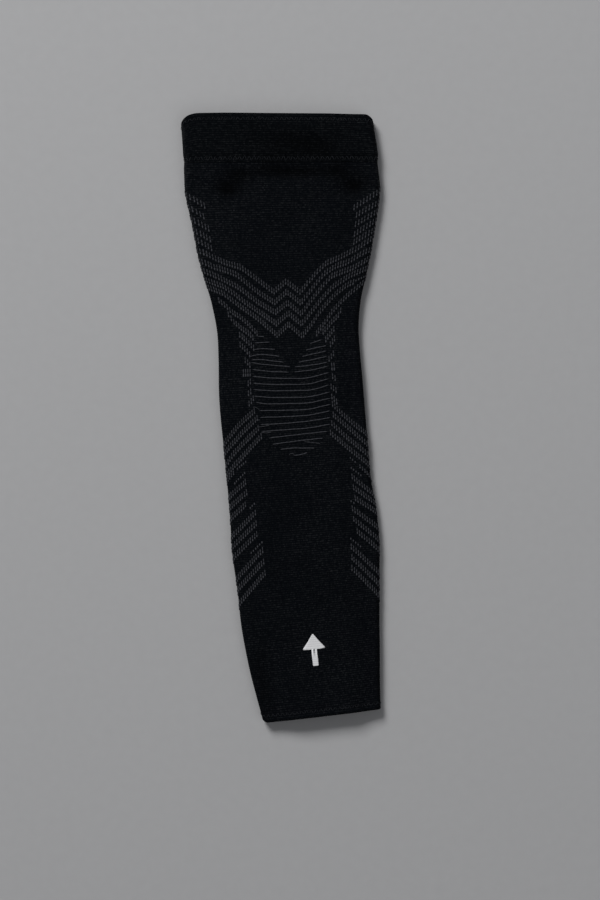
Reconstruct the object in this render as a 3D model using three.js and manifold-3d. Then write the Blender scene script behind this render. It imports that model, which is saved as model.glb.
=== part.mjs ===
// Arm compression sleeve, lying flat: a knitted tube, a folded band round its upper end
// and a turned hem round its wrist end. Millimetres, +Z up, +Y from the wrist to the upper arm.
import * as THREE from "three";
import Module from "manifold-3d";

const wasm = await Module();
wasm.setup();

// Sizes of the flat tube
const sleeveLength = 400;
const wristWidth = 79;
const forearmWidth = 98;
const elbowWidth = 94;
const upperWidth = 128.5;
const layHeight = 10.2;
const foldHeight = 7.6;
const bowDepth = 4.8;
const wristTilt = THREE.MathUtils.degToRad(2.8);
const upperTilt = THREE.MathUtils.degToRad(-4.4);

// Layers of knit, and the play between two of them
const wall = 1.2;
const leaf = 0.9;
const clearance = 0.3;
const endPlay = 0.8;

// Band round the upper end and hem round the wrist end
const cuffHeight = 32.5;
const cuffRun = 22;
const hemDepth = 6.5;
const edgeRound = 0.3;

// Ribs knitted into the elbow patch. Its place is a share of the length, its ribs sag towards
// the wrist in the middle, and the sag fades over a share of the patch.
const patchWidth = 50;
const patchPlace = 0.53;
const patchShift = 0.6;
const ribCount = 19;
const ribPitch = 4.15;
const ribWidth = 0.9;
const ribCrest = 0.5;
const ribProud = 0.35;
const ribRoot = 0.5;
const ribSag = 2.4;
const sagFadeFrom = 0.33;
const sagFadeOver = 0.4;
const ribSteps = 6;

// Soft dents in the upper layer
const dentDepth = 1.2;
const dentReach = 14;

// Rounded corners of the outline, and how far along the sleeve they pull the knit
const cornerSize = 12;
const cornerReach = 40;

// Share of the half width over which the top rises from a side fold
const crownShare = 0.5;

// Steps round a section, and between the rows of points along the sleeve
const underSteps = 4;
const foldSteps = 6;
const topSteps = 22;
const topCrowding = 1.35;
const longStep = 14;
const shortStep = 6.5;

// Colours of the yarns
const knitColor = 0x14161a;
const bandColor = 0x101215;

// Where each layer and band lies, worked out from the sizes above
const bodyStart = leaf + endPlay;
const bodyEnd = sleeveLength - leaf - endPlay;
const cuffEdge = sleeveLength - cuffHeight;
const outerLeaf = clearance + leaf;
const innerLeaf = -wall - clearance - leaf;
const fold = foldHeight / 2;

// One row a section. at: share of the length from the wrist. width: share of the width it
// follows. bow: share of the bow towards -X. height: share of the height the tube lies at.
const sections = [
  { at: 0.0, follows: wristWidth, width: 1.0, bow: -0.1, height: 1.0 },
  { at: 0.05, follows: wristWidth, width: 1.058, bow: 0.2, height: 0.98 },
  { at: 0.1, follows: forearmWidth, width: 0.899, bow: 0.4, height: 0.95 },
  { at: 0.16, follows: forearmWidth, width: 0.942, bow: 0.54, height: 0.93 },
  { at: 0.21, follows: forearmWidth, width: 0.962, bow: 0.47, height: 0.92 },
  { at: 0.28, follows: forearmWidth, width: 1.002, bow: 0.48, height: 0.92 },
  { at: 0.33, follows: forearmWidth, width: 0.995, bow: 0.51, height: 0.91 },
  { at: 0.39, follows: elbowWidth, width: 1.016, bow: 0.77, height: 0.9 },
  { at: 0.46, follows: elbowWidth, width: 1.02, bow: 0.9, height: 0.9 },
  { at: 0.53, follows: elbowWidth, width: 1.023, bow: 1.0, height: 0.9 },
  { at: 0.6, follows: elbowWidth, width: 1.003, bow: 0.9, height: 0.9 },
  { at: 0.645, follows: elbowWidth, width: 1.003, bow: 0.85, height: 0.9 },
  { at: 0.69, follows: elbowWidth, width: 1.057, bow: 0.79, height: 0.91 },
  { at: 0.73, follows: upperWidth, width: 0.836, bow: 0.67, height: 0.92 },
  { at: 0.77, follows: upperWidth, width: 0.888, bow: 0.46, height: 0.93 },
  { at: 0.82, follows: upperWidth, width: 0.943, bow: 0.24, height: 0.95 },
  { at: 0.87, follows: upperWidth, width: 0.998, bow: 0.14, height: 0.97 },
  { at: 0.91, follows: upperWidth, width: 0.995, bow: 0.12, height: 0.99 },
  { at: 0.95, follows: upperWidth, width: 0.986, bow: 0.2, height: 1.0 },
  { at: 1.0, follows: upperWidth, width: 0.975, bow: 0.36, height: 1.0 },
];

// One row a dent. place: distance from the wrist end. across: share of the half width.
// depth, along and wide: shares of the dent sizes.
const dents = [
  { place: cuffEdge - 0.4 * cuffHeight, across: -0.57, depth: 1.0, along: 0.9, wide: 1.1 },
  { place: cuffEdge - 0.36 * cuffHeight, across: 0.66, depth: 1.0, along: 0.85, wide: 0.9 },
  { place: cuffEdge - 0.13 * cuffHeight, across: 0.0, depth: 0.6, along: 0.5, wide: 2.6 },
  { place: cuffEdge + 0.26 * cuffHeight, across: 0.5, depth: 0.45, along: 0.8, wide: 1.0 },
  { place: 0.07 * sleeveLength, across: -0.85, depth: 0.9, along: 2.4, wide: 0.9 },
];

// One row a rounded corner. end and side: where it is. across and along: shares of the corner size.
const corners = [
  { end: "upper", side: -1, across: 1.0, along: 0.54 },
  { end: "upper", side: 1, across: 0.38, along: 0.29 },
  { end: "wrist", side: -1, across: 0.3, along: 0.22 },
];

// One row where the outline of the elbow patch turns, counted in ribs from its upper end.
// reach: share of the patch's half width. notch: share of it that the V on top leaves out.
const patchOutline = [
  { rib: 0, reach: 0.86, notch: 0.54 },
  { rib: 2, reach: 1.0, notch: 0.31 },
  { rib: 5, reach: 1.0, notch: 0.06 },
  { rib: 6, reach: 1.0, notch: 0.0 },
  { rib: 10, reach: 1.0, notch: 0.0 },
  { rib: 11, reach: 0.93, notch: 0.0 },
  { rib: 14, reach: 0.9, notch: 0.0 },
  { rib: 17, reach: 0.52, notch: 0.0 },
  { rib: 18, reach: 0.22, notch: 0.0 },
];

// Ease from 0 to 1 with level ends
function ease(share) {
  return THREE.MathUtils.smoothstep(share, 0, 1);
}

// Value of a function of the section rows at a share of the length, on a smooth curve
function alongSleeve(share, valueOf) {
  const last = sections.length - 2;
  const after = sections.findIndex((row) => row.at > share);
  const i = after < 0 ? last : Math.min(Math.max(after - 1, 0), last);
  const rows = [i - 1, i, i + 1, i + 2].map((k) => sections[Math.min(Math.max(k, 0), last + 1)]);
  const [y0, y1, y2, y3] = rows.map(valueOf);
  const span = rows[2].at - rows[1].at;
  const slope1 = ((y2 - y0) / (rows[2].at - rows[0].at)) * span;
  const slope2 = ((y3 - y1) / (rows[3].at - rows[1].at)) * span;
  const u = Math.min(Math.max((share - rows[1].at) / span, 0), 1);
  const bend1 = u * (1 - u) * (1 - u) * slope1;
  const bend2 = u * u * (1 - u) * slope2;
  return y1 + (y2 - y1) * ease(u) + bend1 - bend2;
}

// Half the width of the tube's section at a distance from the wrist end
function halfWidth(place) {
  return alongSleeve(place / sleeveLength, (row) => row.follows * row.width) / 2;
}

// Height that the underside is lifted off the surface by the band under it
function bandLift(place) {
  return outerLeaf * ease((place - (cuffEdge - cuffRun)) / cuffRun);
}

// Height of the top above the underside, at a distance across from the centre line
function topHeight(place, x) {
  const run = halfWidth(place) - fold;
  const rise = ease((1 - Math.abs(x) / run) / crownShare);
  let crown = layHeight * alongSleeve(place / sleeveLength, (row) => row.height) - foldHeight;
  for (const dent of dents) {
    const alongOff = (place - dent.place) / (dent.along * dentReach);
    const acrossOff = (x - dent.across * run) / (dent.wide * dentReach);
    crown -= dent.depth * dentDepth * Math.exp(-alongOff * alongOff - acrossOff * acrossOff);
  }
  return foldHeight + rise * crown;
}

// Distance that the rounded corners pull a point back from the two ends
function cornerPull(place, x) {
  let pull = 0;
  for (const corner of corners) {
    const isUpper = corner.end === "upper";
    const fromEnd = isUpper ? sleeveLength - place : place;
    const fromSide = halfWidth(place) - corner.side * x;
    const inCorner = Math.min(Math.max(1 - fromSide / (corner.across * cornerSize), 0), 1);
    const drop = corner.along * cornerSize * (1 - Math.sqrt(1 - inCorner * inCorner));
    pull += (isUpper ? -1 : 1) * drop * ease(1 - fromEnd / cornerReach);
  }
  return pull;
}

// Point of the bent sleeve for a distance from the wrist, a distance across and a height
function bent(place, x, z, xOnKnit) {
  const share = place / sleeveLength;
  const tilt = THREE.MathUtils.lerp(wristTilt, upperTilt, share);
  const shift = -bowDepth * alongSleeve(share, (row) => row.bow);
  const along = place + cornerPull(place, xOnKnit);
  return [shift + x * Math.cos(tilt), along + x * Math.sin(tilt), z];
}

// Place across the top for a share from -1 to 1, with the points closer at the folds
function acrossTop(share) {
  return Math.sign(share) * (1 - Math.pow(1 - Math.abs(share), topCrowding));
}

// Closed ring of points round the tube, moved outward from the body's outer face by a distance
function ring(place, out) {
  const run = halfWidth(place) - fold;
  const lift = bandLift(place);
  const points = [];
  for (let i = 0; i < underSteps; i += 1) {
    const x = run * (1 - (2 * i) / underSteps);
    points.push(bent(place, x, lift - out, x));
  }
  const sideFold = (side, startAngle) => {
    for (let i = 0; i < foldSteps; i += 1) {
      const angle = startAngle - (Math.PI * i) / foldSteps;
      const x = side * run + (fold + out) * Math.cos(angle);
      const z = lift + fold + (fold + out) * Math.sin(angle);
      points.push(bent(place, x, z, side * run + fold * Math.cos(angle)));
    }
  };
  sideFold(-1, -Math.PI / 2);
  for (let i = 0; i < topSteps; i += 1) {
    const x = run * acrossTop((2 * i) / topSteps - 1);
    points.push(bent(place, x, lift + topHeight(place, x) + out, x));
  }
  sideFold(1, Math.PI / 2);
  return points;
}

// Closed geometry over rings of points: a loop of rings, or a row of rings with flat ends
function skin(rings, isLoop) {
  const around = rings[0].length;
  const spans = isLoop ? rings.length : rings.length - 1;
  const index = [];
  for (let row = 0; row < spans; row += 1) {
    const low = row * around;
    const high = ((row + 1) % rings.length) * around;
    for (let step = 0; step < around; step += 1) {
      const next = (step + 1) % around;
      index.push(low + step, low + next, high + step);
      index.push(low + next, high + next, high + step);
    }
  }
  if (!isLoop) {
    const last = spans * around;
    for (let step = 1; step < around - 1; step += 1) {
      index.push(0, step + 1, step);
      index.push(last, last + step, last + step + 1);
    }
  }
  const geometry = new THREE.BufferGeometry();
  geometry.setAttribute("position", new THREE.Float32BufferAttribute(rings.flat(2), 3));
  geometry.setIndex(index);
  return geometry;
}

// Distances from the wrist end at which the knit has a row of points
function rowsOfPoints() {
  const spaced = (from, to, step) => {
    const count = Math.max(1, Math.round((to - from) / step));
    return Array.from({ length: count }, (_, i) => from + ((to - from) * i) / count);
  };
  const dentEdge = cuffEdge - 1.5 * cuffHeight;
  return [
    ...spaced(hemDepth, dentEdge, longStep),
    ...spaced(dentEdge, cuffEdge, shortStep),
    ...spaced(cuffEdge, sleeveLength, shortStep),
  ];
}

const rowPlaces = rowsOfPoints();

// A stretch of one layer: its two ends, and each row of points between them
function stretch(low, high, out) {
  const inner = rowPlaces.filter((place) => place > low + edgeRound && place < high - edgeRound);
  return [low, ...inner, high].map((place) => ({ place, out }));
}

// Closed band whose profile runs up its outer face and back down its inner face
function bandOf(profile) {
  return skin(profile.map(({ place, out }) => ring(place, out)), true);
}

// Low bar on the top of the knit, from one distance across to another, for one rib of the patch
function ribBar(place, sag, fromX, toX) {
  const patchHalf = patchWidth / 2;
  const corner = (x, offset, rise) => {
    const bow = sag * ((x - patchShift) / patchHalf) ** 2;
    const here = place + bow + offset;
    return bent(here, x, bandLift(here) + topHeight(here, x) + rise, x);
  };
  const rings = [];
  for (let i = 0; i <= ribSteps; i += 1) {
    const x = THREE.MathUtils.lerp(fromX, toX, i / ribSteps);
    rings.push([
      corner(x, ribCrest / 2, ribProud),
      corner(x, -ribCrest / 2, ribProud),
      corner(x, -ribWidth / 2, -ribRoot),
      corner(x, ribWidth / 2, -ribRoot),
    ]);
  }
  return skin(rings, false);
}

// Value of a column of the patch outline at a rib
function patchValue(rib, column) {
  const above = patchOutline.findLast((row) => row.rib <= rib);
  const below = patchOutline.find((row) => row.rib >= rib);
  const share = above === below ? 0 : (rib - above.rib) / (below.rib - above.rib);
  return THREE.MathUtils.lerp(above[column], below[column], share);
}

// The bars of the elbow patch: whole ribs, and two halves where the V on top parts them
function patchBars() {
  const bars = [];
  const patchHalf = patchWidth / 2;
  const lastRow = patchOutline[patchOutline.length - 1].rib;
  const topRib = patchPlace * sleeveLength + (ribPitch * (ribCount - 1)) / 2;
  for (let rib = 0; rib < ribCount; rib += 1) {
    const row = (rib * lastRow) / (ribCount - 1);
    const reach = patchHalf * patchValue(row, "reach");
    const notch = patchHalf * patchValue(row, "notch");
    const sag = ribSag * (1 - ease((row / lastRow - sagFadeFrom) / sagFadeOver));
    const place = topRib - ribPitch * rib;
    if (notch > 0) {
      bars.push(ribBar(place, sag, patchShift - reach, patchShift - notch));
      bars.push(ribBar(place, sag, patchShift + notch, patchShift + reach));
    } else {
      bars.push(ribBar(place, sag, patchShift - reach, patchShift + reach));
    }
  }
  return bars;
}

// A closed geometry as a solid that can be joined with others
function toSolid(geometry) {
  const vertProperties = Float32Array.from(geometry.attributes.position.array);
  const triVerts = Uint32Array.from(geometry.index.array);
  return new wasm.Manifold(new wasm.Mesh({ numProp: 3, vertProperties, triVerts }));
}

// One geometry of several closed ones joined together
function joined(geometries) {
  const whole = geometries.map(toSolid).reduce((sum, solid) => sum.add(solid));
  const { vertProperties, triVerts } = whole.getMesh();
  const geometry = new THREE.BufferGeometry();
  geometry.setAttribute("position", new THREE.Float32BufferAttribute(vertProperties, 3));
  geometry.setIndex(Array.from(triVerts));
  return geometry;
}

// A named piece with its own material
function piece(name, geometry, color) {
  geometry.computeVertexNormals();
  const material = new THREE.MeshStandardMaterial({ color, roughness: 0.95, metalness: 0 });
  const mesh = new THREE.Mesh(geometry, material);
  mesh.name = name;
  return mesh;
}

// The knitted tube with the ribs of its elbow patch
function sleeveBody() {
  const profile = [
    ...stretch(bodyStart, bodyEnd, 0),
    ...stretch(bodyStart, bodyEnd, -wall).reverse(),
  ];
  return piece("sleeve_body", joined([bandOf(profile), ...patchBars()]), knitColor);
}

// The folded band: outer leaf, fold over the body's upper edge, inner leaf
function upperCuff() {
  const profile = [
    ...stretch(cuffEdge, sleeveLength - edgeRound, outerLeaf),
    { place: sleeveLength, out: outerLeaf - edgeRound },
    { place: sleeveLength, out: innerLeaf + edgeRound },
    ...stretch(cuffEdge, sleeveLength - edgeRound, innerLeaf).reverse(),
    ...stretch(cuffEdge, sleeveLength - leaf, -wall - clearance),
    ...stretch(cuffEdge, sleeveLength - leaf, clearance).reverse(),
  ];
  return piece("upper_cuff", bandOf(profile), bandColor);
}

// The turned hem: a lip that closes the body's wrist edge, and a leaf up its inner face
function wristHem() {
  const profile = [
    { place: edgeRound, out: 0 },
    { place: leaf, out: 0 },
    ...stretch(leaf, hemDepth, -wall - clearance),
    ...stretch(edgeRound, hemDepth, innerLeaf).reverse(),
    { place: 0, out: innerLeaf + edgeRound },
    { place: 0, out: -edgeRound },
  ];
  return piece("wrist_hem", bandOf(profile), bandColor);
}

const sleeve = new THREE.Group();
sleeve.add(sleeveBody(), upperCuff(), wristHem());

// The origin is the middle of the underside's box
const box = new THREE.Box3().setFromObject(sleeve);
const middle = box.getCenter(new THREE.Vector3());
sleeve.position.set(-middle.x, -middle.y, -box.min.z);

export default sleeve;
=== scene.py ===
"""Arm compression sleeve lying flat on a pale floor, seen from straight above.

The knit, its grey pattern, the cuff, the hem and their stitches are meshes laid on one surface
function of the sleeve. Lengths are in millimetres until a mesh is made, then in metres.
"""
import math

import bpy
import numpy as np
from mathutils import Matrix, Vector


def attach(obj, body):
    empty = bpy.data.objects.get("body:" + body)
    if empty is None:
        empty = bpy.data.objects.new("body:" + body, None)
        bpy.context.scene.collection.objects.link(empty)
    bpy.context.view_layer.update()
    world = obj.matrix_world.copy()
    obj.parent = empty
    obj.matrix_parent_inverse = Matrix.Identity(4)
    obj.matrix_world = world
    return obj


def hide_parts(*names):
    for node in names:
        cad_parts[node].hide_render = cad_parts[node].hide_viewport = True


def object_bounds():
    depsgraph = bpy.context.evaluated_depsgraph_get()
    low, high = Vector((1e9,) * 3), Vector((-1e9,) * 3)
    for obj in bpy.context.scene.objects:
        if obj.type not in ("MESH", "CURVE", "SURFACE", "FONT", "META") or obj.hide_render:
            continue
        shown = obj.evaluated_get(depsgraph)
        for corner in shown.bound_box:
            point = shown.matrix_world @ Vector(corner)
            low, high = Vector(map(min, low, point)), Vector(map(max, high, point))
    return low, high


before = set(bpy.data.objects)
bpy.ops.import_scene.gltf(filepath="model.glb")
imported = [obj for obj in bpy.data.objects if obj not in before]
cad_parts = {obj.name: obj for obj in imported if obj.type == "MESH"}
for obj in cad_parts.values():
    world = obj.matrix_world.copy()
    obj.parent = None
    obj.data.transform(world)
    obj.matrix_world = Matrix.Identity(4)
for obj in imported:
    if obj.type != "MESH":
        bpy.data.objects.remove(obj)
cad_low, cad_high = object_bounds()

MM = 0.001

# Sizes of the flat tube, as in the part
SLEEVE_LENGTH = 400.0
WRIST_WIDTH = 79.0
FOREARM_WIDTH = 98.0
ELBOW_WIDTH = 94.0
UPPER_WIDTH = 128.5
LAY_HEIGHT = 10.2
FOLD_HEIGHT = 7.6
BOW_DEPTH = 4.8
WRIST_TILT = math.radians(2.8)
UPPER_TILT = math.radians(-4.4)
FOLD = FOLD_HEIGHT / 2
FOLD_ARC = math.pi * FOLD

# Layers of knit, and the play between two of them
WALL = 1.2
LEAF = 0.9
CLEARANCE = 0.3
END_PLAY = 0.8
OUTER_LEAF = CLEARANCE + LEAF
INNER_LEAF = -WALL - CLEARANCE - LEAF

# Band round the upper end and hem round the wrist end
CUFF_HEIGHT = 32.5
CUFF_RUN = 22.0
CUFF_EDGE = SLEEVE_LENGTH - CUFF_HEIGHT
HEM_DEPTH = 6.5
LIP_PLAY = 0.1
BODY_START = LEAF + LIP_PLAY
BODY_END = SLEEVE_LENGTH - LEAF - END_PLAY

# Soft dents in the upper layer, rounded corners, and the crown of the flat tube
DENT_DEPTH = 1.2
DENT_REACH = 14.0
CORNER_SIZE = 12.0
CORNER_REACH = 40.0
CROWN_SHARE = 0.5

# Columns: share of the length, width it follows, share of that width, share of the bow, share of the height
SECTIONS = [
    (0.00, WRIST_WIDTH, 1.000, -0.10, 1.00),
    (0.05, WRIST_WIDTH, 1.058, 0.20, 0.98),
    (0.10, FOREARM_WIDTH, 0.899, 0.40, 0.95),
    (0.16, FOREARM_WIDTH, 0.942, 0.54, 0.93),
    (0.21, FOREARM_WIDTH, 0.962, 0.47, 0.92),
    (0.28, FOREARM_WIDTH, 1.002, 0.48, 0.92),
    (0.33, FOREARM_WIDTH, 0.995, 0.51, 0.91),
    (0.39, ELBOW_WIDTH, 1.016, 0.77, 0.90),
    (0.46, ELBOW_WIDTH, 1.020, 0.90, 0.90),
    (0.53, ELBOW_WIDTH, 1.023, 1.00, 0.90),
    (0.60, ELBOW_WIDTH, 1.003, 0.90, 0.90),
    (0.645, ELBOW_WIDTH, 1.003, 0.85, 0.90),
    (0.69, ELBOW_WIDTH, 1.057, 0.79, 0.91),
    (0.73, UPPER_WIDTH, 0.836, 0.67, 0.92),
    (0.77, UPPER_WIDTH, 0.888, 0.46, 0.93),
    (0.82, UPPER_WIDTH, 0.943, 0.24, 0.95),
    (0.87, UPPER_WIDTH, 0.998, 0.14, 0.97),
    (0.91, UPPER_WIDTH, 0.995, 0.12, 0.99),
    (0.95, UPPER_WIDTH, 0.986, 0.20, 1.00),
    (1.00, UPPER_WIDTH, 0.975, 0.36, 1.00),
]
SECTION_AT, WIDTH_FOLLOWED, WIDTH_SHARE, SECTION_BOW, SECTION_HEIGHT = np.array(SECTIONS).T
SECTION_WIDTH = WIDTH_FOLLOWED * WIDTH_SHARE

# Columns: place along the sleeve, share of the flat run across, share of the depth, reach along and across
DENTS = [
    (CUFF_EDGE - 0.40 * CUFF_HEIGHT, -0.57, 1.00, 0.90, 1.10),
    (CUFF_EDGE - 0.36 * CUFF_HEIGHT, 0.66, 1.00, 0.85, 0.90),
    (CUFF_EDGE - 0.13 * CUFF_HEIGHT, 0.00, 0.60, 0.50, 2.60),
    (CUFF_EDGE + 0.26 * CUFF_HEIGHT, 0.50, 0.45, 0.80, 1.00),
    (0.07 * SLEEVE_LENGTH, -0.85, 0.90, 2.40, 0.90),
]

# Columns: at the upper end, side, share of the corner size across, share of it along
CORNERS = [
    (True, -1, 1.00, 0.54),
    (True, 1, 0.38, 0.29),
    (False, -1, 0.30, 0.22),
]

# The knit's grid: wales from the middle of the front to a side fold, their distance where the tube
# is narrow, and how far the middle ones hold that where it is wide
HALF_WALES = 34
NARROW_WALE = 1.5
WIDE_HOLD = 0.2

# Courses that show: their distance, their relief, how much of it lies inside, and mesh rows for each
COURSE = 1.45
COURSE_RELIEF = 0.075
CREST_INSET = 1.6
ROWS_A_COURSE = 3

# Grey dashes: their heights, width, and how far they stand out of the knit
DASH = 4.1
TALL_DASH = 5.3
DOUBLE_DOT = 2.8
DOT = 1.5
DASH_WIDTH = 0.94
DASH_PROUD = 0.22

# Wales that the side bands run on past a fold, and how near a fold a line ends that is carried over
BACK_REACH = 9
CARRY_REACH = 5

# Yarn of the ribs in the elbow patch: width, how far it stands out, distance between its beads, and
# the share of the width that the stray yarns have
RIB_WIDTH = 0.66
RIB_PROUD = 0.3
RIB_STITCH = 2.9
STRAY_SHARE = 0.7

# Zigzag stitches: distance between strokes, and thickness of the thread
STROKE_STEP = 1.6
THREAD = 0.40

# Rows of them. Columns: place along the sleeve, height, how loose, depth and reach of their dimples
CUFF_TOP_ROW = (SLEEVE_LENGTH - 4.1, 2.0, 0.8, 0.28, 1.5)
CUFF_LOW_ROW = (SLEEVE_LENGTH - 30.0, 2.6, 1.0, 0.26, 1.7)
HEM_ROW = (4.2, 1.9, 0.4, 0.20, 1.4)


# The sleeve's surface


def ease(share):
    """0 to 1 with level ends."""
    share = np.clip(share, 0, 1)
    return share * share * (3 - 2 * share)


def along_sleeve(place, values):
    """Value of a column of the section table at a distance from the wrist end, on a smooth curve."""
    share = np.clip(place / SLEEVE_LENGTH, 0, 1)
    last = len(SECTION_AT) - 1
    row = np.clip(np.searchsorted(SECTION_AT, share, side="right") - 1, 0, last - 1)
    before = np.maximum(row - 1, 0)
    after = np.minimum(row + 2, last)
    span = SECTION_AT[row + 1] - SECTION_AT[row]
    slope1 = (values[row + 1] - values[before]) / (SECTION_AT[row + 1] - SECTION_AT[before]) * span
    slope2 = (values[after] - values[row]) / (SECTION_AT[after] - SECTION_AT[row]) * span
    u = np.clip((share - SECTION_AT[row]) / span, 0, 1)
    straight = values[row] + (values[row + 1] - values[row]) * ease(u)
    return straight + u * (1 - u) ** 2 * slope1 - u * u * (1 - u) * slope2


def half_width(place):
    """Half the width of the flat tube."""
    return along_sleeve(place, SECTION_WIDTH) / 2


def flat_run(place):
    """Distance from the middle of the front to where the side fold begins."""
    return half_width(place) - FOLD


def half_girth(place):
    """Distance round the tube from the middle of the front to the middle of the back."""
    return 2 * flat_run(place) + FOLD_ARC


def crown(place, x):
    """Height of the top above the side folds."""
    run = flat_run(place)
    height = LAY_HEIGHT * along_sleeve(place, SECTION_HEIGHT) - FOLD_HEIGHT
    for at, across, depth, along, wide in DENTS:
        off_along = (place - at) / (along * DENT_REACH)
        off_across = (x - across * run) / (wide * DENT_REACH)
        height = height - depth * DENT_DEPTH * np.exp(-(off_along**2) - off_across**2)
    return height * ease((1 - np.abs(x) / run) / CROWN_SHARE)


def corner_pull(place, x):
    """Distance that the rounded corners pull a point back from the two ends."""
    pull = 0
    for is_upper, side, across, along in CORNERS:
        from_end = SLEEVE_LENGTH - place if is_upper else place
        in_corner = np.clip(1 - (half_width(place) - side * x) / (across * CORNER_SIZE), 0, 1)
        drop = along * CORNER_SIZE * (1 - np.sqrt(1 - in_corner**2))
        pull = pull + (-1 if is_upper else 1) * drop * ease(1 - from_end / CORNER_REACH)
    return pull


def tube(place, girth, out):
    """Points of the sleeve, for a distance from the wrist end, a distance round the tube from the
    middle of the front, and a distance out from the knit's outer face. The floor flattens what is
    under the tube."""
    place, girth, out = np.broadcast_arrays(place, girth, out)
    run = flat_run(place)
    side = np.where(girth < 0, -1.0, 1.0)
    reach = np.abs(girth)
    angle = np.clip((reach - run) / FOLD, 0, np.pi)
    under = np.clip(reach - run - FOLD_ARC, 0, run)
    x_flat = side * (np.minimum(reach, run) - under)
    x = x_flat + side * (FOLD + out) * np.sin(angle)
    x_on_knit = x_flat + side * FOLD * np.sin(angle)
    lift = OUTER_LEAF * ease((place - (CUFF_EDGE - CUFF_RUN)) / CUFF_RUN)
    z = lift + FOLD + (FOLD + out) * np.cos(angle) + np.where(angle > 0, 0, crown(place, x_flat))
    z = np.maximum(z, 0)
    share = place / SLEEVE_LENGTH
    tilt = WRIST_TILT + (UPPER_TILT - WRIST_TILT) * share
    shift = -BOW_DEPTH * along_sleeve(place, SECTION_BOW)
    along = place + corner_pull(place, x_on_knit)
    return np.stack([shift + x * np.cos(tilt), along + x * np.sin(tilt), z], axis=-1)


# The knit's grid on the surface


def girth_of(place, x):
    """Distance round the tube of a point of the front that lies a distance across, seen from above."""
    run = flat_run(place)
    past = np.clip((np.abs(x) - run) / FOLD, 0, 1)
    return np.sign(x) * (np.minimum(np.abs(x), run) + FOLD * np.arcsin(past))


def girth_of_wale(place, wale):
    """Distance round the tube of a wale, counted from the middle of the front. The wales part more
    towards the sides where the tube is wide, and the back mirrors the front."""
    front = flat_run(place) + FOLD_ARC / 2
    mean = front / HALF_WALES
    middle = mean * (1 - WIDE_HOLD * (mean / NARROW_WALE - 1))
    count = np.abs(wale)
    share = np.minimum(count, 2 * HALF_WALES - count) / HALF_WALES
    reach = HALF_WALES * (middle * share + (mean - middle) * share**3)
    reach = np.where(count > HALF_WALES, half_girth(place) - reach, reach)
    return np.sign(wale) * reach


HALVINGS = 24


def wale_of(place, girth):
    """Number of the wale at a distance round the tube, found by halving the step until it fits."""
    place, girth = np.broadcast_arrays(place, girth)
    low = np.zeros(girth.shape)
    high = np.full(girth.shape, 2.0 * HALF_WALES)
    for _ in range(HALVINGS):
        middle = (low + high) / 2
        is_short = girth_of_wale(place, middle) < np.abs(girth)
        low = np.where(is_short, middle, low)
        high = np.where(is_short, high, middle)
    return np.sign(girth) * (low + high) / 2


# Low waves of the free upper layer. Columns: height, crests a metre across and along, start
WAVES = [
    (0.16, 9.0, 21.0, 0.4),
    (0.12, -17.0, 26.0, 2.1),
    (0.09, 31.0, 14.0, 4.0),
    (0.07, -38.0, -43.0, 5.2),
    (0.05, 57.0, 35.0, 1.3),
]
FREE_ARC = 0.75 * FOLD_ARC


def front_share(place, girth):
    """1 on the front, falling to 0 over the side folds, where the knit bears on the floor."""
    return ease((flat_run(place) + FREE_ARC - np.abs(girth)) / FOLD_ARC)


# Creases of the upper layer, about the cuff's lower edge and near the wrist. Columns: distance
# across, place along the sleeve, reach across and along, depth
CREASES = [
    (6.0, CUFF_EDGE - 7.0, 31.0, 4.6, 1.60),
    (-36.0, CUFF_EDGE - 18.0, 8.0, 5.5, 1.90),
    (-29.0, CUFF_EDGE - 10.0, 9.0, 4.5, 1.10),
    (47.0, CUFF_EDGE - 16.0, 8.5, 6.0, 1.90),
    (38.0, CUFF_EDGE - 7.0, 7.0, 6.0, 0.90),
    (26.0, CUFF_EDGE + 9.0, 13.0, 8.0, 1.00),
    (2.0, CUFF_EDGE + 12.0, 22.0, 10.0, 0.95),
    (-36.0, 26.0, 6.5, 24.0, 0.80),
]

# Swell of the left fold near the cuff: height, how much faster it fades towards the underside, and
# where it starts and ends, over what length
SIDE_SWELL = 1.2
UNDER_FADE = 3.0
SWELL_START = 285.0
SWELL_RISE = 25.0
SWELL_END = SLEEVE_LENGTH - 25.0
SWELL_FALL = 12.0

# Share by which a stitch row's dimples swing, and where a bell curve is cut off
DIMPLE_SWING = 0.25
FAR_OFF = 30


def bell(off):
    """Bell curve of a squared distance, cut off where it has come to nothing."""
    return np.exp(-np.minimum(off, FAR_OFF))


def crease_depth(place, girth):
    """How deep the creases are."""
    total = 0
    for across, along, wide, tall, depth in CREASES:
        off = ((girth - across) / wide) ** 2 + ((place - along) / tall) ** 2
        total = total + depth * bell(off)
    return total


def soft_relief(place, girth):
    """Low waves and creases of the knit's free upper layer, and a swell of the left fold near the cuff
    that fades quickly towards the underside."""
    relief = -crease_depth(place, girth)
    for height, across, along, start in WAVES:
        turns = (across * girth + along * place) * MM
        relief = relief + height * np.sin(2 * np.pi * turns + start)
    off_fold = (girth + flat_run(place) + FOLD_ARC / 2) / FOLD_ARC
    off_fold = off_fold * np.where(off_fold < 0, UNDER_FADE, 1)
    near_top = ease((place - SWELL_START) / SWELL_RISE) * ease((SWELL_END - place) / SWELL_FALL)
    swell = SIDE_SWELL * near_top * np.exp(-2 * off_fold * off_fold)
    return relief * front_share(place, girth) + swell


def stitch_groove(place, girth, row):
    """Dimples that a row of stitches pulls into the knit."""
    at, _, _, depth, reach = row
    pull = 1 - DIMPLE_SWING + DIMPLE_SWING * np.cos(2 * np.pi * girth / STROKE_STEP)
    return -depth * pull * np.exp(-(((place - at) / reach) ** 2))


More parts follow.
